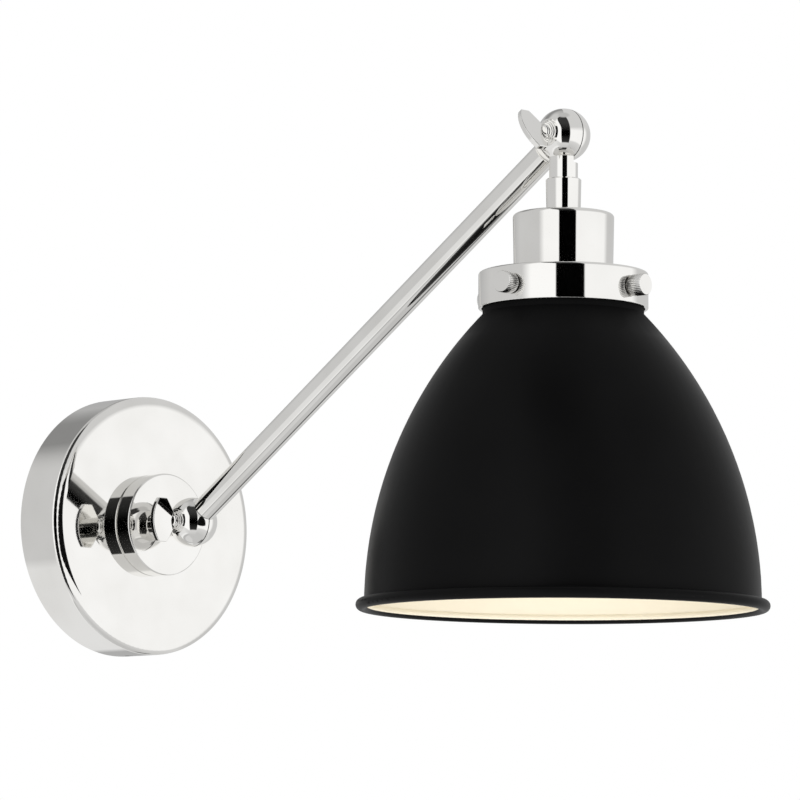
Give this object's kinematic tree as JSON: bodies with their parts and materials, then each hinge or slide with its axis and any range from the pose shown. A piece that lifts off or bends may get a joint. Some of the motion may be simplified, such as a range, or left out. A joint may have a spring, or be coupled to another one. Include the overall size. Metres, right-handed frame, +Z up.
{
  "type": "articulating wall lamp",
  "caption": "Wall lamp: round plate, swivelling hub, straight arm between ball knuckles with thumb keys, and a bell shade in a screwed holder with a screw-base lampholder.",
  "frame": {"origin": "centre of the wall plate at its back, on the wall plane", "axes": "+Y into the wall, +Z up, the arm stands out along -Y; both knuckles turn about X with their thumb keys on the -X side"},
  "size_m": [0.1842, 0.3935, 0.2362],
  "materials": {
    "polished_nickel": "polished",
    "black_enamel": "satin",
    "zinc_steel": "satin",
    "brass": "satin",
    "green_screw": "satin",
    "dark_steel": "satin",
    "fibre_washer": "matte",
    "shell_metal": "satin",
    "ceramic": "gloss"
  },
  "bodies": {
    "wall_mount": {"wall_plate": "polished_nickel", "mounting_strap": "zinc_steel", "plate_grub_screws": "dark_steel", "ground_screw": "green_screw"},
    "hub": {"hub_disc": "polished_nickel", "hub_nipple": "brass", "hub_washer": "zinc_steel", "hub_locknut": "brass", "wall_knuckle": "polished_nickel", "lower_friction_washer": "fibre_washer"},
    "arm": {"lower_far_half": "polished_nickel", "arm_tube": "polished_nickel", "upper_far_half": "polished_nickel"},
    "head": {"head_knuckle": "polished_nickel", "upper_friction_washer": "fibre_washer", "stem_coupling": "polished_nickel", "head_nipple": "brass", "socket_cup": "polished_nickel", "cup_locknut": "brass", "shade_holder": "polished_nickel", "lampholder_cap": "shell_metal", "lampholder_body": "ceramic", "screw_shell": "shell_metal", "centre_contact": "brass", "shade": "black_enamel"},
    "lower_thumb_key": {"lower_key": "polished_nickel", "lower_key_washer": "polished_nickel"},
    "upper_thumb_key": {"upper_key": "polished_nickel", "upper_key_washer": "polished_nickel"},
    "thumbscrew_1": {"shade_screw_1": "polished_nickel"},
    "thumbscrew_2": {"shade_screw_2": "polished_nickel"},
    "thumbscrew_3": {"shade_screw_3": "polished_nickel"},
    "thumbscrew_4": {"shade_screw_4": "polished_nickel"}
  },
  "joints": [
    {"name": "hub_turn", "type": "hinge", "parent": "wall_mount", "child": "hub", "pos_m": [0, -0.026, 0], "axis": [0, -1, 0], "range_deg": [-90, 90]},
    {"name": "arm_lift", "type": "hinge", "parent": "hub", "child": "arm", "pos_m": [0, -0.054, 0], "axis": [-1, 0, 0], "range_deg": [-78, 47]},
    {"name": "head_tilt", "type": "hinge", "parent": "arm", "child": "head", "pos_m": [0, -0.30141, 0.16067], "axis": [-1, 0, 0], "range_deg": [-4, 120]},
    {"name": "lower_key_turn", "type": "hinge", "parent": "hub", "child": "lower_thumb_key", "pos_m": [0, -0.054, 0], "axis": [-1, 0, 0], "range_deg": [0, 180]},
    {"name": "upper_key_turn", "type": "hinge", "parent": "head", "child": "upper_thumb_key", "pos_m": [0, -0.30141, 0.16067], "axis": [-1, 0, 0], "range_deg": [0, 180]},
    {"name": "thumbscrew_1_out", "type": "slide", "parent": "head", "child": "thumbscrew_1", "axis": [0.9938, 0.1115, 0], "range_m": [0, 0.004]},
    {"name": "thumbscrew_2_out", "type": "slide", "parent": "head", "child": "thumbscrew_2", "axis": [-0.1115, 0.9938, 0], "range_m": [0, 0.004]},
    {"name": "thumbscrew_3_out", "type": "slide", "parent": "head", "child": "thumbscrew_3", "axis": [-0.9938, -0.1115, 0], "range_m": [0, 0.004]},
    {"name": "thumbscrew_4_out", "type": "slide", "parent": "head", "child": "thumbscrew_4", "axis": [0.1115, -0.9938, 0], "range_m": [0, 0.004]}
  ]
}
